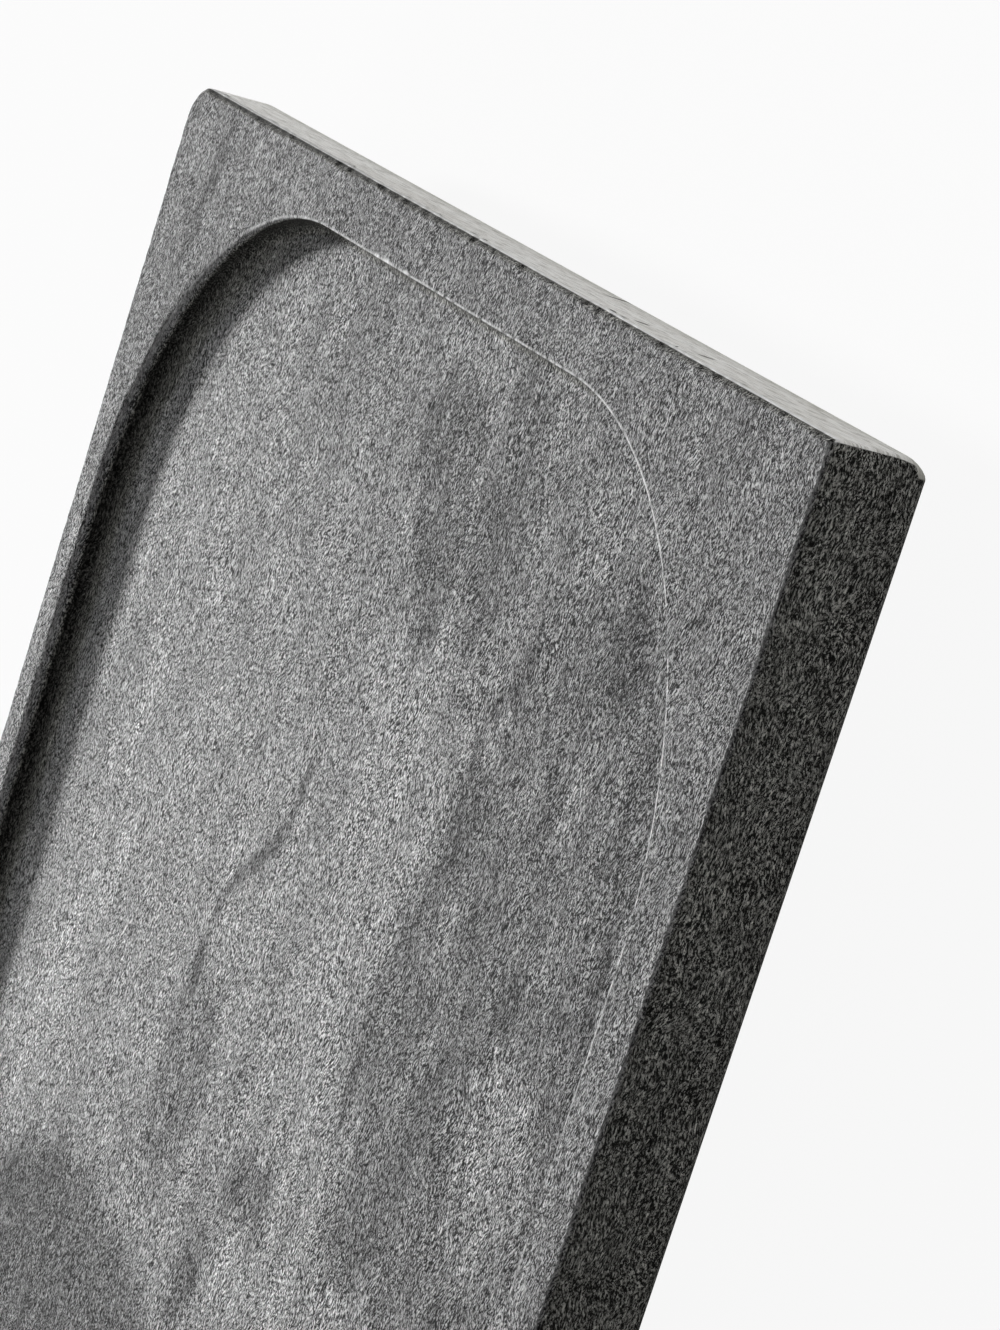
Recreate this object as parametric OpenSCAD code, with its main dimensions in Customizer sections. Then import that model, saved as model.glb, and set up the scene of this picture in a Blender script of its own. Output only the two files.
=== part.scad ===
// Gongfu tea tray: a stone slab with a shallow basin, on rubber feet, with a drain at one end.
// Millimetres, +Z up. The origin is on the table under the middle of the slab.
// +X runs along the slab to its plain end, -X to its drain end, and -Y is the front long side.

/* [Slab] */
// Length of the stone slab
slab_length = 700; // [520:10:900]
// Width of the stone slab
slab_width = 400; // [330:10:500]
// Thickness of the stone slab
slab_thickness = 25; // [23:1:40]
// Radius of the two upright corners on the front side, left nearly sharp
front_corner_r = 1.2; // [0.5:0.1:10]
// Radius of the two upright corners on the back side, eased by hand
back_corner_r = 9; // [1:0.5:20]
// Bevel along the top edge of each end
end_bevel = 1.3; // [0.3:0.1:2.5]
// Bevel along the top edge of each long side
side_bevel = 0.8; // [0.3:0.1:2.5]
// Rounding along the bottom edge of each end
end_under_r = 6.5; // [2:0.5:9]
// Rounding along the bottom edge of each long side
side_under_r = 4; // [1:0.5:9]

/* [Basin] */
// Width of the rim beside the basin, along the long sides
rim_side = 16; // [10:0.5:40]
// Width of the rim at the ends of the basin
rim_end = 16.5; // [10:0.5:40]
// Radius of the basin's corners
basin_corner_r = 104; // [20:1:130]
// Depth of the basin below the rim
basin_depth = 5.5; // [4.5:0.5:8]
// Hollow rounding between the basin's wall and floor
basin_cove_r = 2.5; // [0.5:0.5:4]
// Bevel along the basin's top edge
basin_bevel = 0.5; // [0.2:0.1:1.5]

/* [Feet] */
// Height of a rubber foot
foot_height = 12; // [11:0.5:25]
// Diameter of a rubber foot at its base
foot_base_d = 30; // [20:1:40]
// Diameter of a rubber foot at its top
foot_top_d = 34; // [24:1:44]
// Distance from the slab's edges to the centre of a corner foot
foot_inset = 45; // [30:1:80]
// Rounding bevel around the base of a foot
foot_bevel = 1; // [0.4:0.1:2]
// Diameter of the hollow under a foot
foot_hollow_d = 18; // [6:1:18]
// Depth of the hollow under a foot
foot_hollow_depth = 1.2; // [0.5:0.1:3]
// Thickness of the foam disc between a foot and the stone
adhesive_t = 1; // [0.5:0.1:2]
// Margin of the foam disc inside the foot's top edge
adhesive_margin = 1; // [0.5:0.5:4]

/* [Drain] */
// Distance from the basin's end wall to the drain's axis
drain_inset = 45; // [32:1:90]
// Outer diameter of the drain tube
tube_d = 26; // [22:0.5:27]
// Wall of the drain tube
tube_wall = 2; // [1.2:0.1:2.5]
// Diameter of the drain's flange
flange_d = 42; // [38:0.5:60]
// Thickness of the drain's flange
flange_t = 2.2; // [2:0.1:3]
// Bevel around the flange's top edge
flange_bevel = 0.6; // [0.2:0.1:0.8]
// How far the flange's top lies below the basin's floor
flange_sink = 0.2; // [0.1:0.1:1]
// Thickness of the washer under the flange
flange_seal_t = 0.8; // [0.5:0.1:1.5]
// Margin of that washer inside the flange's edge
flange_seal_margin = 0.5; // [0.2:0.1:1]
// Depth of the pocket under the stone for the nut
pocket_depth = 9; // [8:0.5:11]
// Diameter of the pocket under the stone
pocket_d = 50; // [46:1:70]
// Thickness of the rubber washer under the stone
washer_t = 1.5; // [1:0.1:2.5]
// Diameter of the rubber washer under the stone
washer_d = 38; // [34:0.5:44]
// Height of the lock nut
nut_t = 4; // [3:0.1:5]
// Width of the lock nut across its flats
nut_flats = 36; // [32:0.5:38]
// Bevel on the lock nut's corners
nut_bevel = 0.8; // [0.2:0.1:1.2]

/* [Hose elbow] */
// Outer diameter of the elbow's collar
collar_d = 33; // [31:0.5:40]
// Length of tube that the elbow screws on to
thread_engagement = 4.4; // [3:0.1:5]
// Gap between the lock nut and the elbow's collar
collar_gap = 0.3; // [0.1:0.1:1]
// Thickness of the seal between the tube's end and the elbow
elbow_seal_t = 1.2; // [0.8:0.1:2]
// Width of the elbow's shoulder inside the tube's bore
shoulder_step = 1.2; // [0.6:0.1:2]
// Height of the elbow's cavity above and below the hose tail's bore
cavity_margin = 0.4; // [0.2:0.1:0.6]
// Thickness of the elbow's floor
elbow_floor_t = 1.8; // [1:0.1:2.2]
// Outer diameter of the hose tail
hose_tail_d = 9; // [7:0.5:10]
// Wall of the hose tail
hose_tail_wall = 1.3; // [1:0.1:1.8]
// Length of the plain hose tail outside the elbow's boss
hose_tail_length = 20; // [12:1:30]
// Length of the bevelled tip of the hose tail
hose_tip_length = 1.2; // [0.6:0.1:2]
// Depth of that bevel
hose_tip_bevel = 0.6; // [0.3:0.1:0.8]
// How far the boss around the tail's root stands out of the collar
boss_length = 3; // [1:0.5:6]
// How much wider the boss is than the tail, on the radius
boss_step = 0.8; // [0.4:0.1:1.2]
// Number of finger grooves around the collar
groove_count = 13; // [5:1:21]
// Angle that the grooves cover on each side of the line away from the tail
groove_spread = 132; // [90:2:140]
// Radius of a finger groove
groove_r = 1.1; // [0.5:0.1:1.6]

/* [Strainer] */
// Diameter of the strainer's plate
strainer_d = 29.6; // [29:0.1:32]
// Thickness of the strainer's plate
strainer_t = 1.2; // [0.8:0.1:1.6]
// How far the strainer's plate lies below the flange's top
strainer_sink = 0.2; // [0.1:0.1:0.6]
// Depth of the strainer's skirt below its plate
skirt_depth = 3; // [1:0.5:6]
// Wall of the strainer's skirt
skirt_wall = 0.8; // [0.5:0.1:1.2]
// Diameter of one drain hole
strainer_hole_d = 2.6; // [1.5:0.1:3]
// Radius of the inner ring of drain holes
inner_ring_r = 4.8; // [4.2:0.1:5.2]
// Number of holes in the inner ring
inner_ring_count = 6; // [4:1:8]
// Radius of the outer ring of drain holes
outer_ring_r = 8.2; // [7.9:0.1:8.4]
// Number of holes in the outer ring
outer_ring_count = 12; // [6:1:14]
// Diameter of the finger knob
knob_d = 6.4; // [5:0.1:7]
// Height of the finger knob above the plate
knob_height = 3.2; // [2.5:0.1:4.5]
// Diameter of the knob's stem
stem_d = 3; // [2:0.1:3.5]
// Diameter of the rivet head under the plate
rivet_d = 4.6; // [3.8:0.1:5]
// Thickness of the rivet head
rivet_t = 0.8; // [0.5:0.1:1.2]

/* [Clearances] */
// Radial clearance of the tube in the stone
stone_clearance = 0.5; // [0.2:0.1:1]
// Radial clearance of the nut and the elbow on the tube
thread_clearance = 0.05; // [0.03:0.01:0.2]
// Radial clearance of the washers around the tube
washer_clearance = 0.3; // [0.1:0.1:0.5]
// Radial clearance of the flange in its seat
seat_clearance = 0.5; // [0.2:0.1:1]
// Radial clearance of the strainer in the flange and the tube
strainer_clearance = 0.2; // [0.1:0.05:0.4]
// Radial clearance of the knob's stem in the plate
stem_clearance = 0.03; // [0.02:0.01:0.08]

/* [Hidden] */
$fn = 96;

// How far a cutter reaches past the face that it opens
cut_past = 1;

// Levels of the slab
slab_bottom = foot_height + adhesive_t;
slab_top = slab_bottom + slab_thickness;
basin_floor = slab_top - basin_depth;

// The basin's outline at the floor's wall, below its bevel
basin_length = slab_length - 2 * rim_end;
basin_width = slab_width - 2 * rim_side;
basin_corner_x = basin_length / 2 - basin_corner_r;
basin_corner_y = basin_width / 2 - basin_corner_r;

// The drain's axis, and its levels from the top down
drain_x = -basin_length / 2 + drain_inset;
flange_top = basin_floor - flange_sink;
flange_bottom = flange_top - flange_t;
seat_level = flange_bottom - flange_seal_t;
pocket_level = slab_bottom + pocket_depth;
washer_bottom = pocket_level - washer_t;
nut_bottom = washer_bottom - nut_t;
collar_top = nut_bottom - collar_gap;
tube_end = collar_top - thread_engagement;
elbow_shoulder = tube_end - elbow_seal_t;

// Radii around the drain's axis
tube_r = tube_d / 2;
tube_bore_r = tube_r - tube_wall;
flange_r = flange_d / 2;
collar_r = collar_d / 2;
elbow_cavity_r = tube_bore_r - shoulder_step;
thread_r = tube_r + thread_clearance;
washer_bore_r = tube_r + washer_clearance;

// The hose tail runs level, just under the elbow's shoulder
hose_tail_r = hose_tail_d / 2;
hose_bore_r = hose_tail_r - hose_tail_wall;
hose_level = elbow_shoulder - cavity_margin - hose_bore_r;
cavity_level = hose_level - hose_bore_r - cavity_margin;
elbow_bottom = cavity_level - elbow_floor_t;
tail_root_x = -collar_r - boss_length;
tail_tip_x = tail_root_x - hose_tail_length - hose_tip_length;

// The strainer hangs on a ledge in the flange
strainer_r = strainer_d / 2;
strainer_bottom = flange_top - strainer_t - strainer_sink;
strainer_top = strainer_bottom + strainer_t;
rebate_r = strainer_r + strainer_clearance;
skirt_r = tube_bore_r - strainer_clearance;

// Places of the feet
foot_x = slab_length / 2 - foot_inset;
foot_y = slab_width / 2 - foot_inset;
foot_places = [
    for (y = [-foot_y, foot_y])
        for (x = [-foot_x, 0, foot_x])
            [x, y]
];

stone_colour = [0.33, 0.34, 0.35];
steel_colour = [0.72, 0.72, 0.73];
rubber_colour = [0.06, 0.06, 0.06];
silicone_colour = [0.85, 0.85, 0.83];
foam_colour = [0.9, 0.9, 0.88];

// What a round of radius r leaves of a square corner at the origin, with the round's centre at -X -Y
module corner_waste(r) {
    difference() {
        square(2 * r, center = true);
        translate([-r, -r])
            circle(r);
    }
}

// The slab seen from above
module slab_plan() {
    difference() {
        square([slab_length, slab_width], center = true);
        for (side = [-1, 1])
            translate([side * slab_length / 2, slab_width / 2])
                mirror([side < 0 ? 1 : 0, 0])
                    corner_waste(back_corner_r);
        for (side = [-1, 1])
            translate([side * slab_length / 2, -slab_width / 2])
                mirror([side < 0 ? 1 : 0, 0])
                    mirror([0, 1])
                        corner_waste(front_corner_r);
    }
}

// The slab seen along one of its level directions: bevelled above, rounded below
module slab_section(span, under_r, bevel) {
    difference() {
        translate([-span / 2, 0])
            square([span, slab_thickness]);
        for (side = [-1, 1])
            translate([side * span / 2, 0])
                mirror([side < 0 ? 1 : 0, 0])
                    mirror([0, 1])
                        corner_waste(under_r);
        for (side = [-1, 1])
            translate([side * span / 2, slab_thickness])
                rotate(45)
                    square(bevel * sqrt(2), center = true);
    }
}

module slab_blank() {
    intersection() {
        linear_extrude(slab_thickness)
            slab_plan();
        rotate([90, 0, 0])
            linear_extrude(slab_width, center = true)
                slab_section(slab_length, end_under_r, end_bevel);
        rotate([90, 0, 90])
            linear_extrude(slab_length, center = true)
                slab_section(slab_width, side_under_r, side_bevel);
    }
}

// Half-open section of the basin, from its floor up past the rim, with its cove and its bevel
module basin_section(half) {
    flare = basin_bevel + cut_past;
    difference() {
        translate([-half, 0])
            square([2 * half, basin_depth + cut_past]);
        for (side = [-1, 1])
            translate([side * half, 0])
                mirror([side < 0 ? 1 : 0, 0])
                    mirror([0, 1])
                        corner_waste(basin_cove_r);
    }
    polygon([
        [-half, basin_depth - basin_bevel],
        [half, basin_depth - basin_bevel],
        [half + flare, basin_depth + cut_past],
        [-half - flare, basin_depth + cut_past]
    ]);
}

module basin_corner_plug() {
    rotate_extrude()
        intersection() {
            basin_section(basin_corner_r);
            square([basin_corner_r + 2 * basin_bevel + 2 * cut_past, basin_depth + 2 * cut_past]);
        }
}

module basin_cutter() {
    rotate([90, 0, 0])
        linear_extrude(2 * basin_corner_y, center = true)
            basin_section(basin_length / 2);
    rotate([90, 0, 90])
        linear_extrude(2 * basin_corner_x, center = true)
            basin_section(basin_width / 2);
    for (side_x = [-1, 1])
        for (side_y = [-1, 1])
            translate([side_x * basin_corner_x, side_y * basin_corner_y, 0])
                basin_corner_plug();
}

module ring(outer_r, inner_r, height) {
    difference() {
        cylinder(r = outer_r, h = height);
        translate([0, 0, -cut_past])
            cylinder(r = inner_r, h = height + 2 * cut_past);
    }
}

module stone_slab() {
    color(stone_colour)
        difference() {
            translate([0, 0, slab_bottom])
                slab_blank();
            translate([0, 0, basin_floor])
                basin_cutter();
            translate([drain_x, 0, seat_level])
                cylinder(r = flange_r + seat_clearance, h = slab_top - seat_level);
            translate([drain_x, 0, slab_bottom])
                cylinder(r = tube_r + stone_clearance, h = slab_thickness);
            translate([drain_x, 0, slab_bottom - cut_past])
                cylinder(d = pocket_d, h = pocket_depth + cut_past);
        }
}

module drain_body() {
    color(steel_colour)
        translate([drain_x, 0, 0])
            difference() {
                union() {
                    translate([0, 0, tube_end])
                        cylinder(r = tube_r, h = flange_bottom - tube_end + flange_t / 2);
                    translate([0, 0, flange_bottom])
                        cylinder(r = flange_r, h = flange_t - flange_bevel);
                    translate([0, 0, flange_top - flange_bevel])
                        cylinder(r1 = flange_r, r2 = flange_r - flange_bevel, h = flange_bevel);
                }
                translate([0, 0, tube_end - cut_past])
                    cylinder(r = tube_bore_r, h = flange_top - tube_end + 2 * cut_past);
                translate([0, 0, strainer_bottom])
                    cylinder(r = rebate_r, h = flange_top - strainer_bottom + cut_past);
            }
}

module flange_seal() {
    color(silicone_colour)
        translate([drain_x, 0, seat_level])
            ring(flange_r - flange_seal_margin, washer_bore_r, flange_seal_t);
}

module backing_washer() {
    color(rubber_colour)
        translate([drain_x, 0, washer_bottom])
            ring(washer_d / 2, washer_bore_r, washer_t);
}

// A hexagon with its corners turned off above and below
module lock_nut() {
    corner_r = nut_flats / 2 / cos(30);
    color(steel_colour)
        translate([drain_x, 0, nut_bottom])
            difference() {
                intersection() {
                    cylinder(r = corner_r, h = nut_t, $fn = 6);
                    union() {
                        cylinder(r1 = corner_r - nut_bevel, r2 = corner_r, h = nut_bevel);
                        translate([0, 0, nut_bevel])
                            cylinder(r = corner_r, h = nut_t - 2 * nut_bevel);
                        translate([0, 0, nut_t - nut_bevel])
                            cylinder(r1 = corner_r, r2 = corner_r - nut_bevel, h = nut_bevel);
                    }
                }
                translate([0, 0, -cut_past])
                    cylinder(r = thread_r, h = nut_t + 2 * cut_past);
            }
}

// Runs along -X from the drain's axis at the hose's level
module along_tail(start, end, r1, r2) {
    translate([start, 0, hose_level])
        rotate([0, -90, 0])
            cylinder(r1 = r1, r2 = r2, h = start - end);
}

module hose_elbow() {
    boss_r = hose_tail_r + boss_step;
    color(steel_colour)
        translate([drain_x, 0, 0])
            difference() {
                union() {
                    translate([0, 0, elbow_bottom])
                        cylinder(r = collar_r, h = collar_top - elbow_bottom);
                    along_tail(-tube_bore_r, tail_root_x, boss_r, boss_r);
                    along_tail(-tube_bore_r, tail_root_x - hose_tail_length, hose_tail_r, hose_tail_r);
                    along_tail(
                        tail_root_x - hose_tail_length,
                        tail_tip_x,
                        hose_tail_r,
                        hose_tail_r - hose_tip_bevel
                    );
                }
                translate([0, 0, cavity_level])
                    cylinder(r = elbow_cavity_r, h = collar_top - cavity_level);
                translate([0, 0, elbow_shoulder])
                    cylinder(r = thread_r, h = collar_top - elbow_shoulder + cut_past);
                along_tail(0, tail_tip_x - cut_past, hose_bore_r, hose_bore_r);
                for (i = [0 : groove_count - 1])
                    rotate(groove_spread * (2 * i / (groove_count - 1) - 1))
                        translate([collar_r + groove_r / 2, 0, elbow_bottom - cut_past])
                            cylinder(r = groove_r, h = collar_top - elbow_bottom + 2 * cut_past, $fn = 32);
            }
}

module elbow_seal() {
    color(rubber_colour)
        translate([drain_x, 0, elbow_shoulder])
            ring(tube_r - washer_clearance, elbow_cavity_r, elbow_seal_t);
}

module hole_ring(radius, count) {
    for (i = [0 : count - 1])
        rotate(360 / count * i)
            translate([radius, 0, strainer_bottom - cut_past])
                cylinder(d = strainer_hole_d, h = strainer_t + 2 * cut_past, $fn = 32);
}

module drain_strainer() {
    color(steel_colour)
        translate([drain_x, 0, 0])
            difference() {
                union() {
                    translate([0, 0, strainer_bottom])
                        cylinder(r = strainer_r, h = strainer_t);
                    translate([0, 0, strainer_bottom - skirt_depth])
                        ring(skirt_r, skirt_r - skirt_wall, skirt_depth + strainer_t / 2);
                }
                translate([0, 0, strainer_bottom - cut_past])
                    cylinder(r = stem_d / 2 + stem_clearance, h = strainer_t + 2 * cut_past);
                hole_ring(inner_ring_r, inner_ring_count);
                hole_ring(outer_ring_r, outer_ring_count);
            }
}

// A turned mushroom knob: rivet head, stem, waist and a rounded cap
module strainer_knob() {
    cap_r = knob_d / 2;
    cap_t = knob_height / 2;
    waist_r = (cap_r + stem_d / 2) / 2;
    color(steel_colour)
        translate([drain_x, 0, 0]) {
            translate([0, 0, strainer_bottom - rivet_t])
                cylinder(d = rivet_d, h = rivet_t);
            translate([0, 0, strainer_bottom - rivet_t / 2])
                cylinder(d = stem_d, h = strainer_t + rivet_t / 2 + knob_height / 2);
            translate([0, 0, strainer_top])
                cylinder(r = waist_r, h = knob_height - cap_t);
            translate([0, 0, strainer_top + knob_height - cap_t])
                cylinder(r = cap_r, h = cap_t / 2);
            translate([0, 0, strainer_top + knob_height - cap_t / 2])
                cylinder(r1 = cap_r, r2 = cap_r - cap_t / 2, h = cap_t / 2);
        }
}

// A moulded rubber foot, turned about its axis, with a hollow under it
module foot() {
    base_r = foot_base_d / 2;
    hollow_r = foot_hollow_d / 2;
    color(rubber_colour)
        rotate_extrude()
            polygon([
                [0, foot_hollow_depth],
                [hollow_r - foot_hollow_depth, foot_hollow_depth],
                [hollow_r, 0],
                [base_r - foot_bevel, 0],
                [base_r, foot_bevel],
                [foot_top_d / 2, foot_height],
                [0, foot_height]
            ]);
}

module foot_at(index) {
    translate([foot_places[index][0], foot_places[index][1], 0])
        foot();
}

module foot_adhesive_discs() {
    color(foam_colour)
        for (place = foot_places)
            translate([place[0], place[1], foot_height])
                cylinder(d = foot_top_d - 2 * adhesive_margin, h = adhesive_t);
}

stone_slab();
drain_body();
flange_seal();
backing_washer();
lock_nut();
hose_elbow();
elbow_seal();
drain_strainer();
strainer_knob();
foot_at(0);  // foot_front_left
foot_at(1);  // foot_front_middle
foot_at(2);  // foot_front_right
foot_at(3);  // foot_back_left
foot_at(4);  // foot_back_middle
foot_at(5);  // foot_back_right
foot_adhesive_discs();
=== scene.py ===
"""Looks of the gongfu tea tray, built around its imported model.

Metres, +Z up, in the model's own frame: the origin is on the table under the middle of the slab,
+X runs along the slab to its plain end, -X to its drain end, and -Y is the front long side.
"""

import math

import bpy
import numpy as np
from mathutils import Matrix, Vector, noise


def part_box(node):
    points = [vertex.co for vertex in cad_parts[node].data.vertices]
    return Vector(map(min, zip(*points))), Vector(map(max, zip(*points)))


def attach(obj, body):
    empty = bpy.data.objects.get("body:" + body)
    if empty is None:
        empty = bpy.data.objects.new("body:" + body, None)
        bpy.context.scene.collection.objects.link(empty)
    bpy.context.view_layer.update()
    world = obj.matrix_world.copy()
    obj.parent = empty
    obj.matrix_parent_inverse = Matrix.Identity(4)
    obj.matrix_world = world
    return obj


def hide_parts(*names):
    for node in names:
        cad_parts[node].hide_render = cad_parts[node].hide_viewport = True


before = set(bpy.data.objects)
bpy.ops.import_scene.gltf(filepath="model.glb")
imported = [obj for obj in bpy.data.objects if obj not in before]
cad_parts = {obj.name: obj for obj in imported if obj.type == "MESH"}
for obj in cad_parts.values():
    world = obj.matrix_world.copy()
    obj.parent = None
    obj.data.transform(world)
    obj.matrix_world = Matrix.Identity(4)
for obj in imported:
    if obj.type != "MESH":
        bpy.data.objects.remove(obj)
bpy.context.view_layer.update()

MM = 0.001

# Camera: where it stands, the point of the slab's top that it looks at, its roll and its lens
CAMERA_PLACE = (449.1 * MM, -965.8 * MM, 473.3 * MM)
CAMERA_AIM = (267.9 * MM, -90.0 * MM, 38.0 * MM)
CAMERA_ROLL = -77.36
SENSOR = 36.0
LENS = 120.83

# Light: a low lamp behind the tray's back left, and a surround that is bright low down behind
KEY_TRAVEL = (0.03, -1.0)
KEY_ELEVATION = 9.4
KEY_STRENGTH = 9.7
KEY_ANGLE = 3.2
SURROUND_BACK = 6.6
SURROUND_RIGHT = 1.76
SURROUND_FRONT = 0.66
SURROUND_ABOVE = 0.105
FLOOR_SIZE = 12.0

# Stone: the grain's spacing in millimetres, its lie, and its darkest and palest crystals
GRAIN_TURN = -10.0
GRAIN_DRAWN = 3.1
GRAIN_SIZE = 0.40
GRAIN_DETAIL = 3.0
GRAIN_ROUGH = 0.85
# Painted relief shading: how far the grain is stepped to paint each crystal lit towards the back and shaded towards the
# front, and how strongly
RELIEF_SHADING_STEP = (0.0, 0.22, -0.18)
RELIEF_SHADING_SHARE = 1.8
SPECKLE_REACH = 0.146
WARP_WAVE = 3.0
WARP_REACH = 1.1
CLUMP_SIZE = 7.0
CLUMP_SHARE = 0.5
CLUMP_EVEN = 0.045
RIM_SPECKLE = 0.86
RIM_LIGHT = 0.81
STAIN_SPECKLE = 1.0
STAIN_MOTTLE = 3.6
FIBRE_LENGTHS = (8.0, 0.9, 0.9)
FIBRE_PLAIN = 0.75
FIBRE_STAINED = 1.6
GRAIN_RELIEF = 0.0009
STONE_DARK = 0.0192
STONE_PALE = 0.77
STONE_GLOSS = 0.02
SHEER_LIGHT = 0.57
MARK_LENGTHS = (2.3, 0.7, 0.7)
MARK_DARK = 0.62
MARK_PALE = 1.85
MARK_SHARE = 1.0
ROUGH_DARK = 0.95
ROUGH_PALE = 0.75

# Stains in the stone: middle, half length, half width, turn, border's softness and light kept
STAINS = (
    # The darker field in front, and what lies in it
    (190, -128, 75, 55, 0, 0.05, 0.65),
    (252, -128, 50, 46, -14, 0.05, 0.63),
    (180, -73, 38, 3.5, 0, 0.50, 0.62),
    (228, -86, 18, 9, 4, 0.40, 0.44),
    (262, -88, 20, 5, -26, 0.50, 0.48),
    (136, -99, 17, 17, 10, 0.50, 0.60),
    (168, -110, 12, 7, 0, 0.50, 0.62),
    (262, -104, 21, 7, -4, 0.50, 0.60),
    (206, -136, 13, 9, 0, 0.60, 0.44),
    (226, -131, 13, 3.5, -12, 0.50, 0.58),
    (176, -127, 24, 3, -3, 0.50, 0.56),
    (147, -138, 9, 4, 0, 0.50, 0.58),
    (285, -136, 14, 17, -16, 0.45, 0.44),
    (256, -161, 24, 5, 12, 0.50, 0.54),
    (220, -169, 22, 3, 2, 0.50, 0.46),
    (284, -76, 12, 3, -20, 0.50, 0.66),
    # The clouded patch by the plain end
    (294, -80, 50, 28, -6, 0.60, 0.76),
    (322, -110, 22, 60, 0, 0.80, 0.80),
    (300, -58, 36, 18, 3, 0.25, 0.58),
    (282, -52, 10, 7, 0, 0.50, 0.52),
    (281, -30, 22, 14, 8, 0.30, 0.52),
    (305, -17, 16, 20, -10, 0.30, 0.52),
    (264, -32, 9, 10, 0, 0.40, 0.54),
    (293, -10, 24, 4.0, 27, 0.60, 0.56),
    (320, 5, 14, 2.4, 20, 0.60, 0.72),
    # Clouds and spots along the middle
    (122, 22, 30, 18, 8, 0.35, 0.66),
    (100, 36, 26, 16, 0, 0.60, 0.84),
    (117, -36, 9, 13, 8, 0.60, 0.58),
    (84, -16, 12, 6, -10, 0.50, 0.58),
    # The dark band across the slab
    (30, 62, 50, 80, 4, 0.20, 0.50),
    # On towards the drain
    (-30, 36, 80, 26, -10, 0.55, 0.58),
    (-20, 112, 70, 26, -14, 0.60, 0.60),
    (-105, 66, 90, 14, -9, 0.70, 0.68),
    (-48, 18, 40, 7, -9, 0.60, 0.54),
    (0, -18, 62, 12, -12, 0.60, 0.62),
    (-190, 108, 90, 20, -10, 0.70, 0.70),
    (-225, 90, 34, 6, -9, 0.60, 0.60),
    (-150, -112, 90, 30, -9, 0.50, 0.68),
    (-190, -96, 40, 12, -9, 0.60, 0.56),
    (-110, -140, 50, 7, -10, 0.60, 0.56),
    (-95, -92, 34, 6, -10, 0.60, 0.62),
    (-235, -40, 60, 7, -12, 0.70, 0.70),
    (20, -124, 70, 12, -9, 0.60, 0.70),
    # On the rim
    (-320, -186, 44, 5, -6, 0.50, 0.62),
    (-345, 120, 9, 40, 0, 0.50, 0.76),
    (322, 169, 26, 4, -14, 0.40, 0.55),
    (345, -30, 8, 20, 0, 0.40, 0.72),
    (350, -160, 60, 60, 0, 0.90, 0.80),
    (350, 60, 90, 160, 0, 0.90, 0.82),
    (150, -196, 150, 14, 0, 0.80, 0.86),
)

# Paler wisps, given as the stains are
WISPS = (
    # In the darker field
    (172, -151, 25, 16, 5, 0.50, 1.75),
    (205, -92, 13, 5, 12, 0.50, 1.35),
    (250, -87, 11, 5, -8, 0.50, 1.40),
    (168, -98, 12, 5, 0, 0.50, 1.25),
    (194, -107, 13, 7, 0, 0.50, 1.20),
    (247, -113, 10, 3.5, -14, 0.50, 1.50),
    (252, -135, 13, 6, 4, 0.50, 1.50),
    (225, -150, 16, 7, 0, 0.50, 1.30),
    (252, -150, 14, 5, 6, 0.50, 1.25),
    (228, -161, 14, 2.5, 4, 0.50, 1.30),
    # Elsewhere on the floor
    (4, 56, 26, 12, -9, 0.60, 1.45),
    (0, 90, 22, 6, -12, 0.60, 1.40),
    (-50, 34, 34, 5, -10, 0.60, 1.40),
    (-150, -118, 40, 8, -9, 0.60, 1.40),
    (-200, 108, 40, 6, -10, 0.60, 1.35),
    (162, 112, 34, 14, 0, 0.70, 1.16),
    (106, -70, 16, 12, 0, 0.70, 1.16),
    (-90, -30, 90, 50, -9, 0.80, 1.12),
    (100, 118, 24, 22, -6, 0.60, 1.30),
    (98, -40, 10, 12, 0, 0.50, 1.15),
    # A broad paler patch over the middle of the floor: a painted pool of light
    (165, 55, 140, 130, 0, 0.80, 1.19),
)

# The crooked vein, from point to point
VEIN = ((146, 32), (160, 33), (172, 29), (181, 20), (188, 12), (197, 5), (213, 2))
VEIN_WIDTH = 2.4
VEIN_LIGHT = 0.48

# Cracks in the sawn ends: middle across and up, half length and tip
CRACKS = (
    (-56.9, 20.2, 4.8, 67),
    (-90.6, 30.6, 2.2, 46),
    (-121.6, 29.1, 2.4, 52),
)
CRACK_WIDTH = 1.2

# Slab: sizes in millimetres that the frame's boxes don't give
RIM_SIDE = 16.0
RIM_END = 16.5
BASIN_CORNER_R = 104.0
BASIN_DEPTH = 5.5
COVE_R = 2.5
EASE_END = 0.22
EASE_FRONT = 0.25
EASE_BACK = 2.4
# How far the upright faces darken: the basin wall's is partly its smooth dark finish and partly painted shade, and the
# hollow at its foot is painted shade
WALL_DARK_AND_SHADE = 4.0
FOOT_PAINTED_SHADE = 2.0
# The back side's further darkening: painted shade, because the low lamp falls full on it
BACK_PAINTED_SHADE = 2.1
# The drain end's sawn face is kept less pale: painted shade, because the bright surround behind falls on it
DRAIN_END_SAWN = 0.62
FOOT_REACH = 16.0
# Painted shade on the floor by the wall's foot: inset from the wall, darkening along the back, darkening at the ends
FOOT_SHADE = (
    (14.0, 0.1, 0.0),
    (11.0, 0.5, 0.0),
    (8.0, 1.0, 0.0),
    (5.0, 1.4, 0.0),
    (3.2, 1.7, 0.0),
    (2.7, 1.8, 0.6),
)
SHOULDER = 0.38
RIM_EDGE = (
    # How far out from the eased edge, how much of the pale worn line with its painted highlight, and of the shoulder's
    # drop
    (0.2, 1.0, 0.86),
    (0.38, 0.5, 0.75),
    (0.6, 0.0, 0.62),
    (1.1, 0.0, 0.32),
    (1.7, 0.0, 0.10),
    (2.4, 0.0, 0.0),
)
END_BEVEL = 1.3
SIDE_BEVEL = 0.8
END_UNDER_R = 6.5
SIDE_UNDER_R = 4.0
BACK_CORNER_R = 9.0
FRONT_CORNER_TOP_R = 1.2
FRONT_CORNER_FOOT_R = 4.0
DRAIN_INSET = 45.0
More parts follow.
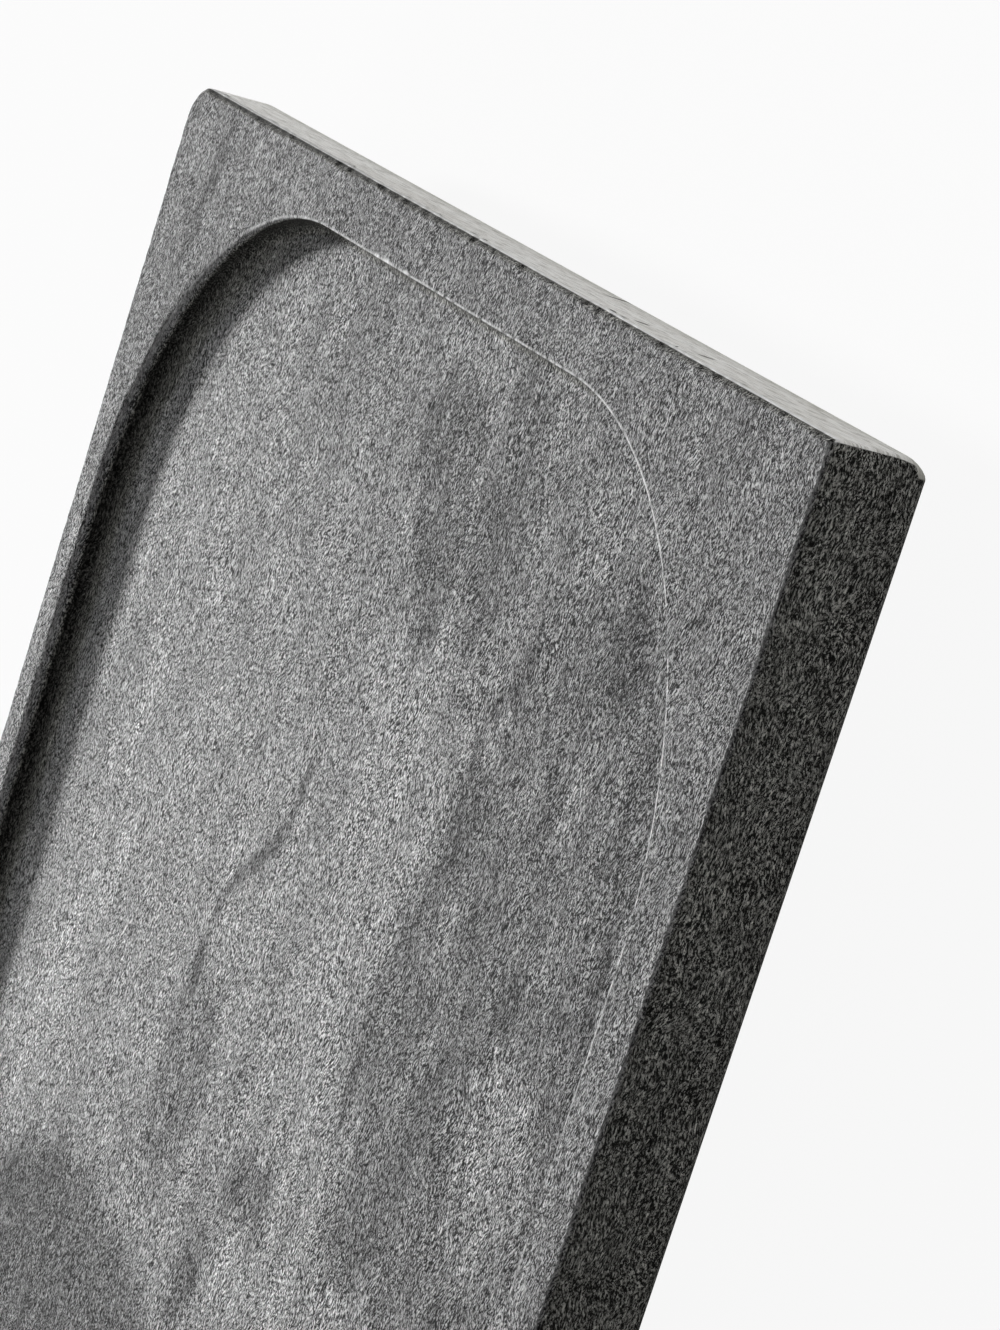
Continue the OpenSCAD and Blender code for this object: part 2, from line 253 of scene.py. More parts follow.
SEAT_R = 21.5
SEAT_DEPTH = 3.2
HOLE_R = 13.5
POCKET_R = 25.0
POCKET_DEPTH = 9.0

# Slab: how many stations go round a quadrant, on its end, its corner and its side
STATIONS_END = 160
STATIONS_CORNER = 20
STATIONS_SIDE = 280


def make_camera():
    """The photograph's view of the tray."""
    data = bpy.data.cameras.new("camera")
    data.sensor_width = SENSOR
    data.lens = LENS
    data.dof.use_dof = False
    data.clip_start = 0.01
    data.clip_end = 100.0
    camera = bpy.data.objects.new("camera", data)
    bpy.context.scene.collection.objects.link(camera)
    ahead = Vector(CAMERA_AIM) - Vector(CAMERA_PLACE)
    level = ahead.to_track_quat("-Z", "Y").to_matrix().to_4x4()
    roll = Matrix.Rotation(math.radians(CAMERA_ROLL), 4, "Z")
    camera.matrix_world = Matrix.Translation(CAMERA_PLACE) @ level @ roll
    bpy.context.scene.camera = camera


class Nodes:
    """A short way to write a node tree: each call adds a node and links its inputs."""

    def __init__(self, tree):
        self.tree = tree
        tree.nodes.clear()

    def add(self, kind, settings=None, **inputs):
        node = self.tree.nodes.new(kind)
        for name, value in (settings or {}).items():
            setattr(node, name, value)
        for name, value in inputs.items():
            self.put(node, name.replace("_", " "), value)
        return node

    def put(self, node, name, value):
        socket = node.inputs[int(name[1:])] if name[0] == "#" else node.inputs[name]
        if isinstance(value, bpy.types.NodeSocket):
            self.tree.links.new(value, socket)
        elif isinstance(value, bpy.types.Node):
            self.tree.links.new(value.outputs[0], socket)
        else:
            socket.default_value = value

    def maths(self, operation, a, b=0.0, c=0.0, clamp=False):
        node = self.add("ShaderNodeMath", {"operation": operation, "use_clamp": clamp})
        for index, value in enumerate((a, b, c)):
            self.put(node, f"#{index}", value)
        return node

    def spread(self, value, low, high, to_low=0.0, to_high=1.0, smooth=False):
        """The value carried from one range to another, held within it."""
        kind = "SMOOTHSTEP" if smooth else "LINEAR"
        node = self.add("ShaderNodeMapRange", {"interpolation_type": kind})
        for name, number in (
            ("Value", value),
            ("From Min", low),
            ("From Max", high),
            ("To Min", to_low),
            ("To Max", to_high),
        ):
            self.put(node, name, number)
        return node

    def mix(self, share, a, b, blend="MIX"):
        node = self.add("ShaderNodeMix", {"data_type": "RGBA", "blend_type": blend})
        self.put(node, "#0", share)
        self.put(node, "#6", a)
        self.put(node, "#7", b)
        return node.outputs[2]

    def noise(self, place, scale, detail=2.0, roughness=0.5, distortion=0.0):
        return self.add(
            "ShaderNodeTexNoise",
            Vector=place,
            Scale=scale,
            Detail=detail,
            Roughness=roughness,
            Distortion=distortion,
        ).outputs[0]

    def stretched(self, place, lengths, turn=0.0, middle=(0.0, 0.0, 0.0), tip=0.0):
        """Places for a texture drawn out to these lengths, on axes turned about Z and tipped about X."""
        node = self.add("ShaderNodeMapping", {"vector_type": "TEXTURE"}, Vector=place)
        node.inputs["Location"].default_value = middle
        node.inputs["Rotation"].default_value = (math.radians(tip), 0.0, math.radians(turn))
        node.inputs["Scale"].default_value = lengths
        return node

    def shifted(self, place, waves, detail, reach):
        """Places moved about by noise with waves and reach of these lengths, so that borders come out ragged."""
        at = self.stretched(place, waves)
        drift = self.add("ShaderNodeTexNoise", Vector=at, Scale=1.0, Detail=detail).outputs["Color"]
        centred = self.add("ShaderNodeVectorMath", {"operation": "SUBTRACT"}, **{"#0": drift, "#1": (0.5, 0.5, 0.5)})
        settings = {"operation": "MULTIPLY_ADD"}
        return self.add("ShaderNodeVectorMath", settings, **{"#0": centred, "#1": reach, "#2": place})

    def mark(self, name):
        """A value that the mesh holds under this name."""
        return self.add("ShaderNodeAttribute", {"attribute_name": name}).outputs["Fac"]

    def tone(self, level):
        """A grey of this level."""
        return self.add("ShaderNodeCombineColor", Red=level, Green=level, Blue=level).outputs[0]

    def bump(self, height, distance, strength=1.0, normal=None):
        node = self.add("ShaderNodeBump", Height=height, Distance=distance, Strength=strength)
        if normal is not None:
            self.put(node, "Normal", normal)
        return node


def rgba(r, g, b):
    return (r, g, b, 1.0)


def grey(level):
    return (level, level, level, 1.0)


def new_material(name):
    """A material with its tree emptied, ready for a shader."""
    material = bpy.data.materials.new(name)
    material.use_nodes = True
    return material, Nodes(material.node_tree)


def finish_material(nodes, shader):
    output = nodes.add("ShaderNodeOutputMaterial")
    nodes.put(output, "Surface", shader)


def seen_directly(nodes):
    """1 for rays from the camera, in a mirror or through glass, else 0."""
    path = nodes.add("ShaderNodeLightPath")
    seen = nodes.maths("MAXIMUM", path.outputs["Is Camera Ray"], path.outputs["Is Glossy Ray"])
    return nodes.maths("MAXIMUM", seen, path.outputs["Is Transmission Ray"])


def make_floor():
    """A plain pale floor, nearly white to the eye, that keeps a faint part of the tray's shadow."""
    material, nodes = new_material("pale_floor")
    lit = nodes.add("ShaderNodeBsdfDiffuse", Color=rgba(0.88, 0.88, 0.88))
    white = nodes.add("ShaderNodeEmission", Color=rgba(0.98, 0.98, 0.98), Strength=1.0)
    share = nodes.maths("MULTIPLY", seen_directly(nodes), 0.94)
    finish_material(nodes, nodes.add("ShaderNodeMixShader", **{"#0": share, "#1": lit, "#2": white}))
    half = FLOOR_SIZE / 2
    mesh = bpy.data.meshes.new("floor")
    corners = [(-half, -half, 0), (half, -half, 0), (half, half, 0), (-half, half, 0)]
    mesh.from_pydata(corners, [], [(0, 1, 2, 3)])
    mesh.materials.append(material)
    floor = bpy.data.objects.new("floor", mesh)
    bpy.context.scene.collection.objects.link(floor)


def make_light():
    """One low lamp from behind, and a soft surround."""
    data = bpy.data.lights.new("key", "SUN")
    data.energy = KEY_STRENGTH
    data.angle = math.radians(KEY_ANGLE)
    key = bpy.data.objects.new("key", data)
    drop = math.tan(math.radians(KEY_ELEVATION))
    travel = Vector((KEY_TRAVEL[0], KEY_TRAVEL[1], -drop * math.hypot(*KEY_TRAVEL)))
    key.rotation_euler = travel.to_track_quat("-Z", "Y").to_euler()
    bpy.context.scene.collection.objects.link(key)

    world = bpy.data.worlds.new("surround")
    bpy.context.scene.world = world
    world.use_nodes = True
    nodes = Nodes(world.node_tree)
    direction = nodes.add("ShaderNodeTexCoord").outputs["Generated"]
    x, y, z = nodes.add("ShaderNodeSeparateXYZ", Vector=direction).outputs
    window = nodes.maths("MULTIPLY", nodes.spread(z, 0.12, 0.22, smooth=True), nodes.spread(z, 0.42, 0.32, smooth=True))
    towards = nodes.maths("MULTIPLY_ADD", x, -0.6, nodes.maths("MULTIPLY", y, 0.8))
    back = nodes.maths("MULTIPLY", nodes.spread(towards, 0.1, 0.85, 0.0, SURROUND_BACK, smooth=True), window)
    low = nodes.spread(z, 0.4, 0.05, smooth=True)
    right = nodes.maths("MULTIPLY", nodes.spread(x, 0.1, 0.8, 0.0, SURROUND_RIGHT, smooth=True), low)
    front = nodes.maths("MULTIPLY", low, SURROUND_FRONT)
    level = nodes.maths("MAXIMUM", nodes.maths("MAXIMUM", back, right), nodes.maths("MAXIMUM", front, SURROUND_ABOVE))
    lit = nodes.add("ShaderNodeBackground", Color=rgba(1.0, 1.0, 1.0), Strength=level.outputs[0])
    white = nodes.add("ShaderNodeBackground", Color=rgba(0.98, 0.98, 0.98), Strength=1.0)
    mixed = nodes.add("ShaderNodeMixShader", **{"#0": seen_directly(nodes), "#1": lit, "#2": white})
    nodes.put(nodes.add("ShaderNodeOutputWorld"), "Surface", mixed)


def quadrant_outline(a, b, r, count_end, count_corner, count_side):
    """Points of the first quadrant's outline, from the +X axis round to the +Y axis, in millimetres.

    a and b are the half sizes and r the corner's radius. The last point is left to the next quadrant.
    """
    up = np.arange(count_end) / count_end
    turn = np.arange(count_corner) / count_corner * math.pi / 2
    back = np.arange(count_side) / count_side
    first = np.stack([np.full(count_end, a), up * (b - r)], 1)
    corner = np.stack([a - r + r * np.cos(turn), b - r + r * np.sin(turn)], 1)
    last = np.stack([(a - r) * (1 - back), np.full(count_side, b)], 1)
    return np.vstack([first, corner, last])


def quadrant_at(a, b, r, share):
    """The point of that outline at each share of its length."""
    lengths = np.array([b - r, r * math.pi / 2, a - r])
    along = share * lengths.sum()
    turn = np.clip((along - lengths[0]) / r, 0, math.pi / 2)
    x = np.where(along <= lengths[0], a, a - r + r * np.cos(turn))
    y = np.where(along <= lengths[0], along, b - r + r * np.sin(turn))
    x = np.where(along > lengths[:2].sum(), a - r - (along - lengths[:2].sum()), x)
    return np.stack([x, y], 1)


def all_round(quadrant):
    """A closed loop from a function that gives one quadrant's points, mirrored about both axes."""
    loops = []
    for index, (sx, sy) in enumerate(((1, 1), (-1, 1), (-1, -1), (1, -1))):
        points = quadrant(sy) * (sx, sy)
        if index % 2:
            first = quadrant(sy, last=True) * (sx, sy)
            points = np.vstack([first, points[:0:-1]])
        loops.append(points)
    return np.vstack(loops)


def smoothstep(low, high, value):
    t = np.clip((value - low) / (high - low), 0, 1)
    return t * t * (3 - 2 * t)


class Slab:
    """The slab's outlines, in millimetres, each sampled at the same stations."""

    def __init__(self):
        low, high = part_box("stone_slab")
        self.half_x = high.x / MM
        self.half_y = high.y / MM
        self.top = high.z / MM
        self.bottom = low.z / MM
        self.basin_x = self.half_x - RIM_END
        self.basin_y = self.half_y - RIM_SIDE
        self.drain = np.array([-self.basin_x + DRAIN_INSET, 0.0])
        self.counts = (STATIONS_END, STATIONS_CORNER, STATIONS_SIDE)
        self.share = self.station_shares()

    def station_shares(self):
        """How far round its quadrant each station lies, on an outline with eased corners."""
        outline = quadrant_outline(self.half_x, self.half_y, BACK_CORNER_R, *self.counts)
        steps = np.hypot(*np.diff(np.vstack([outline, [[0, self.half_y]]]), axis=0).T)
        return np.concatenate([[0], np.cumsum(steps)]) / steps.sum()

    def outer(self, inset_x, inset_y, front_r, back_r):
        """The slab's outline drawn in by an inset at the ends and one at the sides."""
        a, b = self.half_x - inset_x, self.half_y - inset_y
        least = 0.15

        def quadrant(side, last=False):
            r = max((front_r if side < 0 else back_r) - (inset_x + inset_y) / 2, least)
            if last:
                return np.array([[0.0, b]])
            return quadrant_outline(a, b, r, *self.counts)

        return all_round(quadrant)

    def basin(self, inset):
        """The basin's outline drawn in by an inset, or let out by a negative one."""
        a, b = self.basin_x - inset, self.basin_y - inset

        def quadrant(side, last=False):
            share = self.share[-1:] if last else self.share[:-1]
            return quadrant_at(a, b, BASIN_CORNER_R - inset, share)

        return all_round(quadrant)

    def circle(self, radius, towards):
        """A circle round the drain, each station in the direction of its point in another loop."""
        away = towards - self.drain
        return self.drain + radius * away / np.hypot(*away.T)[:, None]


def ripple(points, wave, seed):
    """Smooth noise from -1 to 1 at each point of a loop, with features of about one wave's size."""
    return np.array([noise.noise(Vector((p[0] / wave, p[1] / wave, seed))) * 1.6 for p in points])


def slab_loops():
    """The slab as closed loops of points, from the drain's seat over the top and back underneath.

    Each loop is (points, height, wear_and_highlight, sawn, sheer_and_shade): the last three mark the worn edges with
    their painted highlight lines, the pale sawn ends, and the darker smooth upright faces with painted shade on the
    basin's wall, along its foot, on the end bevels and over the back side.
    """
    slab = Slab()
    loops = []
    wall = slab.basin(0.0)
    outside = slab.outer(0.0, 0.0, BACK_CORNER_R, BACK_CORNER_R)
    seat_level = slab.top - BASIN_DEPTH - SEAT_DEPTH
    floor_level = slab.top - BASIN_DEPTH

    def add(points, height, wear_and_highlight=0.0, sawn=0.0, sheer_and_shade=0.0):
        count = len(points)
        rows = [np.broadcast_to(np.asarray(value, float), (count,)) for value in (height, wear_and_highlight, sawn, sheer_and_shade)]
        loops.append((points, *rows))

    # The drain's seat
    lip = 0.4
    for radius, height, wear_and_highlight in (
        (HOLE_R, seat_level, 0.0),
        (SEAT_R - 0.3, seat_level, 0.0),
        (SEAT_R, seat_level + 0.3, 0.0),
        (SEAT_R, floor_level - lip, 0.2),
        (SEAT_R + 0.12, floor_level - 0.12, 0.8),
        (SEAT_R + lip, floor_level, 0.6),
        (SEAT_R + 2 * lip, floor_level, 0.1),
    ):
        add(slab.circle(radius, wall), height, wear_and_highlight)

    # The basin's floor
    start = slab.circle(SEAT_R + 3 * lip, wall)
    end = slab.basin(FOOT_REACH)
    for share in (0.0, 0.03, 0.08, 0.16, 0.26, 0.36, 0.46, 0.56, 0.66, 0.76, 0.85, 0.92, 0.97, 1.0):
        points = start + share * (end - start)
        sag = 0.10 * smoothstep(0.0, 0.1, share) * (1 - smoothstep(0.9, 1.0, share))
        add(points, floor_level - sag * (0.5 + 0.5 * ripple(points, 90.0, 3.1)))

    # Painted shade on the floor along the foot of the back wall, and a thin painted shadow line along the ends
    back, front = towards_sides(slab, wall)
    end = (1 - back - front) ** 3
    for inset, dark, end_dark in FOOT_SHADE:
        add(slab.basin(inset), floor_level, sheer_and_shade=dark * back + end_dark * end)

    # The hollow at the foot of the wall, and the wall: darker smooth stone with painted shade over it, and painted
    # shade in the hollow along the back and the ends
    for step in range(9):
        turn = math.pi / 2 * step / 8
        foot = slab.basin(COVE_R * (1 - math.sin(turn)))
        least = FOOT_PAINTED_SHADE * back + 0.6 * end
        sheer_and_shade = least + (WALL_DARK_AND_SHADE - least) * math.sin(turn)
        add(foot, floor_level + COVE_R * (1 - math.cos(turn)), sheer_and_shade=sheer_and_shade)
    ease = edge_ease(slab, wall)
    shoulder = SHOULDER * back * (1 + 0.25 * ripple(wall, 9.0, 5.2))
    edge_level = slab.top - shoulder
    for share in (0.4, 0.8):
        height = floor_level + COVE_R + share * (BASIN_DEPTH - COVE_R - ease - shoulder)
        add(wall, height, sheer_and_shade=WALL_DARK_AND_SHADE)

    # The basin's upper edge, eased by hand, its pale line partly worn stone and partly a painted highlight
    away = slab.basin(-1.0) - wall
    rubbing_and_highlight = edge_rubbing_and_highlight(slab, wall)
    for step in range(6):
        turn = math.pi / 2 * step / 5
        out = (1 - math.cos(turn)) * ease
        down = (1 - math.sin(turn)) * ease
        wear_and_highlight = rubbing_and_highlight * math.sin(turn) ** 4
        fading = 2.2 * back + 0.9 * (1 - back)
        sheer_and_shade = WALL_DARK_AND_SHADE * np.maximum(0.0, 1.0 - fading * turn)
        add(wall + away * out[:, None], edge_level - down, wear_and_highlight, sheer_and_shade=sheer_and_shade)
    wide = 1 + end_rubbing_and_highlight(wall)
    for out, share, drop in RIM_EDGE:
        beside = wall + away * (ease + out * wide)[:, None]
        add(beside, slab.top - drop * shoulder, share * rubbing_and_highlight)

    # The rim, flat from the basin to the outer bevel
    inner = wall + away * (ease + 5.0)[:, None]
    nicks = 1 + 0.20 * ripple(outside, 14.0, 2.2) + 0.26 * ripple(outside, 3.0, 5.9)
    for share in (0.15, 0.4, 0.65, 0.9):
        far = slab.outer(END_BEVEL * 3.0, SIDE_BEVEL * 3.0, FRONT_CORNER_TOP_R, BACK_CORNER_R)
        add(inner + share * (far - inner), slab.top)

    # The outer upper bevel, its corners slightly worn, with painted shade on it along the ends and a pale line that is
    # partly worn stone and partly a painted highlight
    turned = corner_turn(slab)
    ends = 1 - smoothstep(0.0, 90.0, turned)
    plain_end = edge_end(slab) > 0
    # The sawn paleness stops sooner round the drain end's back corner: painted shade against the bright surround there
    reach = np.where(edge_side(slab) > 0, np.where(plain_end, 84.0, 34.0), 55.0)
    share_sawn = np.where(plain_end, 1.0, DRAIN_END_SAWN)
    sawn = share_sawn * (1 - smoothstep(reach - 3.0, reach + 3.0, turned))
    low_sawn = np.minimum(sawn, share_sawn * (1 - smoothstep(36.0, 42.0, turned)))
    low_sawn = np.where(edge_side(slab) > 0, low_sawn, sawn)
    # The back side darkened further: painted shade, because the low lamp falls full on it
    behind = BACK_PAINTED_SHADE * smoothstep(30.0, 55.0, turned) * (edge_side(slab) > 0)
    bevel = (SIDE_BEVEL + (END_BEVEL - SIDE_BEVEL) * ends) * nicks
    edge = slab.outer(0.0, 0.0, FRONT_CORNER_TOP_R, BACK_CORNER_R)
    inward = slab.outer(1.0, 1.0, FRONT_CORNER_TOP_R + 1.0, BACK_CORNER_R + 1.0) - edge
    bevel_shade = ends * (0.35 + 0.65 * smoothstep(-80.0, 130.0, edge[:, 1]))
    # Rows of the bevel: how far in, how far down, the pale line on the sides and on the ends (partly painted
    # highlight), and painted shade on the ends
    for in_share, down_share, side_wear_and_highlight, end_wear_and_highlight, dark in (
        (1.3, 0.0, 0.0, 0.0, 0.0),
        (1.15, 0.0, 0.0, 0.0, 1.0),
        (1.05, 0.0, 0.1, 0.0, 1.3),
        (1.0, 0.02, 0.4, 0.0, 1.3),
        (0.82, 0.14, 0.3, 0.0, 1.5),
        (0.5, 0.5, 0.0, 0.0, 2.4),
        (0.16, 0.82, 0.0, 0.0, 3.2),
        (0.06, 0.98, 0.1, 1.0, 0.0),
        (0.0, 1.15, 0.0, 1.0, 0.0),
        (0.0, 1.6, 0.0, 1.0, 0.0),
        (0.0, 2.2, 0.0, 0.0, 0.0),
    ):
        points = edge + inward * (in_share * bevel)[:, None]
        wear_and_highlight = side_wear_and_highlight + (end_wear_and_highlight - side_wear_and_highlight) * ends
        down = 1.0 if down_share > 0.9 else 0.0
        sheer_and_shade = dark * bevel_shade + (1 - bevel_shade + behind) * min(down_share, 1.0) ** 3
        add(points, slab.top - down_share * bevel, wear_and_highlight, sawn * down, sheer_and_shade)

    # The sides, the front corners growing rounder towards the bottom
    under = SIDE_UNDER_R + (END_UNDER_R - SIDE_UNDER_R) * ends
    thick = slab.top - slab.bottom
    high = slab.top - 3.2
    for share in np.linspace(0.0, 1.0, 8):
        height = high + share * (slab.bottom + under - high)
        fall = (slab.top - (high + share * (slab.bottom + 5.0 - high))) / thick
        grown = smoothstep(0.6, 1.0, fall)
        r = FRONT_CORNER_TOP_R + (FRONT_CORNER_FOOT_R - FRONT_CORNER_TOP_R) * grown
        add(slab.outer(0.0, 0.0, r, BACK_CORNER_R), height, 0.0, low_sawn, 1.0 + behind)

    # The rounding under them
    foot_edge = slab.outer(0.0, 0.0, FRONT_CORNER_FOOT_R, BACK_CORNER_R)
    foot_in = slab.outer(1.0, 1.0, FRONT_CORNER_FOOT_R, BACK_CORNER_R) - foot_edge
    for step in range(1, 10):
        turn = math.pi / 2 * step / 9
        points = foot_edge + foot_in * (under * (1 - math.cos(turn)))[:, None]
        height = slab.bottom + under * (1 - math.sin(turn))
        wrapped = 0.8 * (1 - smoothstep(80.0, 86.0, turned))
        wrapped = np.where(edge_side(slab) > 0, 0.0, wrapped * share_sawn)
        foot_sawn = np.maximum(low_sawn * (1 - 0.2 * smoothstep(0.0, 30.0, turned)), wrapped)
        add(points, height, 0.0, foot_sawn * min(1.0, 1.6 * math.cos(turn)), 1.0 + behind)

    # The underside, back to the pocket around the drain
    last = foot_edge + foot_in * under[:, None]
    pocket = slab.circle(POCKET_R + 1.0, last)
    for share in (0.02, 0.1, 0.25, 0.45, 0.65, 0.82, 0.95, 1.0):
        add(last + share * (pocket - last), slab.bottom, sheer_and_shade=1.0)
    ceiling = slab.bottom + POCKET_DEPTH
    for radius, height, wear_and_highlight in (
        (POCKET_R + 0.5, slab.bottom, 0.5),
        (POCKET_R + 0.1, slab.bottom + 0.1, 0.7),
        (POCKET_R, slab.bottom + 0.5, 0.3),
        (POCKET_R, ceiling - 0.8, 0.0),
        (POCKET_R - 0.8, ceiling, 0.0),
        (HOLE_R + 0.3, ceiling, 0.0),
        (HOLE_R, ceiling + 0.3, 0.0),
    ):
        add(slab.circle(radius, last), height, wear_and_highlight)
    for share in (0.33, 0.67):
        between = last + share * (wall - last)
        add(slab.circle(HOLE_R, between), ceiling + share * (seat_level - ceiling))
    return loops


def towards_sides(slab, wall):
    """How far each point of the basin's outline lies towards the back and towards the front, from 0 to 1."""
    straight = slab.basin_y - BASIN_CORNER_R
    return [smoothstep(0.0, 90.0, side * wall[:, 1] - straight) for side in (1, -1)]


def edge_ease(slab, wall):
    """How far the basin's upper edge is eased: least at the ends, most at the back, unevenly as by hand."""
    back, front = towards_sides(slab, wall)
    size = EASE_END + (EASE_BACK - EASE_END) * back + (EASE_FRONT - EASE_END) * front
    return size * (1 + 0.16 * ripple(wall, 12.0, 7.3) + 0.06 * ripple(wall, 4.0, 1.7))


def edge_rubbing_and_highlight(slab, wall):
    """How pale the basin's upper edge is made, partly as worn stone and partly as a painted highlight: in short runs,
    most of all along the front.
    """
    back, front = towards_sides(slab, wall)
    runs = np.clip(0.7 + 0.5 * ripple(wall, 16.0, 4.4) + 1.0 * ripple(wall, 2.9, 8.1), 0.05, 1.0)
    fading = 1 - 0.5 * front * (1 - smoothstep(150.0, 260.0, np.abs(wall[:, 0])))
    level = (0.7 - 0.4 * back + 0.3 * front) * runs * fading
    return np.maximum(level, np.minimum(end_rubbing_and_highlight(wall), 1.0))


def end_rubbing_and_highlight(wall):
    """The palest run of the basin's edge, worn stone with a painted highlight, in the middle of its plain end."""
    x, y = wall.T
    along = smoothstep(14.0, 24.0, y) * (1 - smoothstep(50.0, 66.0, y)) * (x > 0)
    return along * np.clip(0.5 + 1.2 * ripple(wall, 4.0, 6.6), 0.0, 1.2)


def edge_side(slab):
    """Which long side each station of the slab's outline lies towards: 1 the back, -1 the front."""
    return np.sign(slab.outer(0.0, 0.0, BACK_CORNER_R, BACK_CORNER_R)[:, 1])


def edge_end(slab):
    """Which end each station of the slab's outline lies towards: 1 the plain end, -1 the drain end."""
    return np.sign(slab.outer(0.0, 0.0, BACK_CORNER_R, BACK_CORNER_R)[:, 0])


def corner_turn(slab):
    """How far each station has turned round its corner: 0 degrees on the ends, 90 on the long sides."""
    edge = np.abs(slab.outer(0.0, 0.0, BACK_CORNER_R, BACK_CORNER_R))
    past_x = np.maximum(edge[:, 0] - (slab.half_x - BACK_CORNER_R), 1e-9)
    past_y = np.maximum(edge[:, 1] - (slab.half_y - BACK_CORNER_R), 0.0)
    return np.degrees(np.arctan2(past_y, past_x))


def make_slab(material):
    """One closed mesh of quads through the loops, with its worn edges and their painted highlights, its sawn ends, and
    its darker faces with painted shade marked.
    """
    loops = slab_loops()
    count = len(loops[0][0])
    points = np.concatenate([np.column_stack(loop[:2]) for loop in loops]) * MM
    rows = np.arange(len(loops))[:, None] * count
    here = np.arange(count)[None, :]
    after = (here + 1) % count
    below = (rows + count) % (len(loops) * count)
    faces = np.stack([rows + here, below + here, below + after, rows + after], -1).reshape(-1, 4)
    mesh = bpy.data.meshes.new("tray_stone")
    mesh.from_pydata(points.tolist(), [], faces.tolist())
    mesh.polygons.foreach_set("use_smooth", np.ones(len(faces), bool))
    for index, name in ((2, "wear_and_highlight"), (3, "sawn"), (4, "sheer_and_shade")):
        values = np.concatenate([loop[index] for loop in loops]).astype(np.float32)
        mesh.attributes.new(name, "FLOAT", "POINT").data.foreach_set("value", values)
    mesh.materials.append(material)
    mesh.update()
    stone = bpy.data.objects.new("tray_stone", mesh)
    bpy.context.scene.collection.objects.link(stone)
    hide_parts("stone_slab")
    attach(stone, "tray")
    return stone


def stone_grain(nodes, place, stained):
    """The grain's height, and its speckled tone with painted relief shading: each crystal is painted pale on the side
    towards the lamp at the back and dark on the side towards the front.
    """
    bent = nodes.shifted(place, (23.0, 23.0, 23.0), 1.0, (9.0, 9.0, 9.0))
    bent = nodes.shifted(bent, (WARP_WAVE, WARP_WAVE, WARP_WAVE), 1.0, (WARP_REACH, WARP_REACH, WARP_REACH))
    heights = []
    for share in (-1, 0, 1):
        step = tuple(share * length for length in RELIEF_SHADING_STEP)
        moved = nodes.add("ShaderNodeVectorMath", {"operation": "ADD"}, **{"#0": bent, "#1": step})
        along = nodes.stretched(moved, (GRAIN_DRAWN, 1.0, 1.0), GRAIN_TURN)
        heights.append(nodes.noise(along, 1 / GRAIN_SIZE, GRAIN_DETAIL, GRAIN_ROUGH))
    front, middle, back = heights
    # Painted relief shading: the grain stepped one way minus the other, making each crystal pale towards the back lamp
    # and dark towards the front
    relief_shading = nodes.maths("SUBTRACT", front, back)
    clumps = nodes.spread(nodes.noise(place, 1 / CLUMP_SIZE, 2.0, 0.6), 0.3, 0.7, 1 - CLUMP_SHARE, 1 + CLUMP_SHARE)
    clumps = nodes.maths("MULTIPLY", clumps, on_rim(nodes, place, RIM_SPECKLE))
    clumps = nodes.maths("MULTIPLY", clumps, nodes.maths("MULTIPLY_ADD", stained, STAIN_SPECKLE, 1.0))
    scaled_relief_shading = nodes.maths("MULTIPLY", relief_shading, clumps)
    level = nodes.maths("MULTIPLY_ADD", nodes.maths("MULTIPLY", clumps, clumps), -CLUMP_EVEN, CLUMP_EVEN)
    grain_and_relief_shading = nodes.maths("MULTIPLY_ADD", scaled_relief_shading, RELIEF_SHADING_SHARE, nodes.maths("ADD", middle, level))
    return middle, nodes.spread(grain_and_relief_shading, 0.5 - SPECKLE_REACH, 0.5 + SPECKLE_REACH)


def on_rim(nodes, place, level):
    """This level up on the rim, and 1 down in the basin."""
    height = nodes.add("ShaderNodeSeparateXYZ", Vector=place).outputs[2]
    return nodes.spread(height, 33.0, 37.0, 1.0, level)


def patch(nodes, place, x, y, length, width, turn, soft, light):
    """A patch's light: 1 outside an ellipse, and this light inside it."""
    reach = 1 + soft
    at = nodes.stretched(place, (length * reach, width * reach, 1000.0), turn, (x, y, 0.0))
    inside = nodes.add("ShaderNodeTexGradient", {"gradient_type": "SPHERICAL"}, Vector=at).outputs["Fac"]
    return nodes.spread(inside, 0.0, 2 * soft / reach, 1.0, light, smooth=True)


def stone_stains(nodes, place):
    """How strongly the stone is stained, from 0 to 1, and how much of its light it keeps."""
    ragged = nodes.shifted(place, (34.0, 20.0, 20.0), 2.0, (22.0, 12.0, 12.0))
    ragged = nodes.shifted(ragged, (12.0, 2.6, 5.0), 3.0, (24.0, 5.0, 5.0))
    kept = 1.0
    for stain in STAINS:
        kept = nodes.maths("MINIMUM", kept, patch(nodes, ragged, *stain))
    stained = nodes.maths("SUBTRACT", 1.0, kept)
    mottle = nodes.maths("SUBTRACT", nodes.noise(nodes.stretched(ragged, (8.0, 2.6, 2.6), -8.0), 1.0, 4.0, 0.7), 0.5)
    fibres = nodes.maths("SUBTRACT", nodes.noise(nodes.stretched(ragged, FIBRE_LENGTHS, -9.0), 1.0, 2.0, 0.6), 0.5)
    strong = nodes.maths("MULTIPLY", stained, STAIN_MOTTLE)
    drawn = nodes.maths("MULTIPLY_ADD", stained, FIBRE_STAINED, FIBRE_PLAIN)
    uneven = nodes.maths("MULTIPLY_ADD", fibres, drawn, nodes.maths("MULTIPLY_ADD", mottle, strong, 1.0))
    shade = nodes.maths("MULTIPLY", kept, uneven)
    for wisp in WISPS:
        shade = nodes.maths("MULTIPLY", shade, patch(nodes, ragged, *wisp))
    return stained, shade


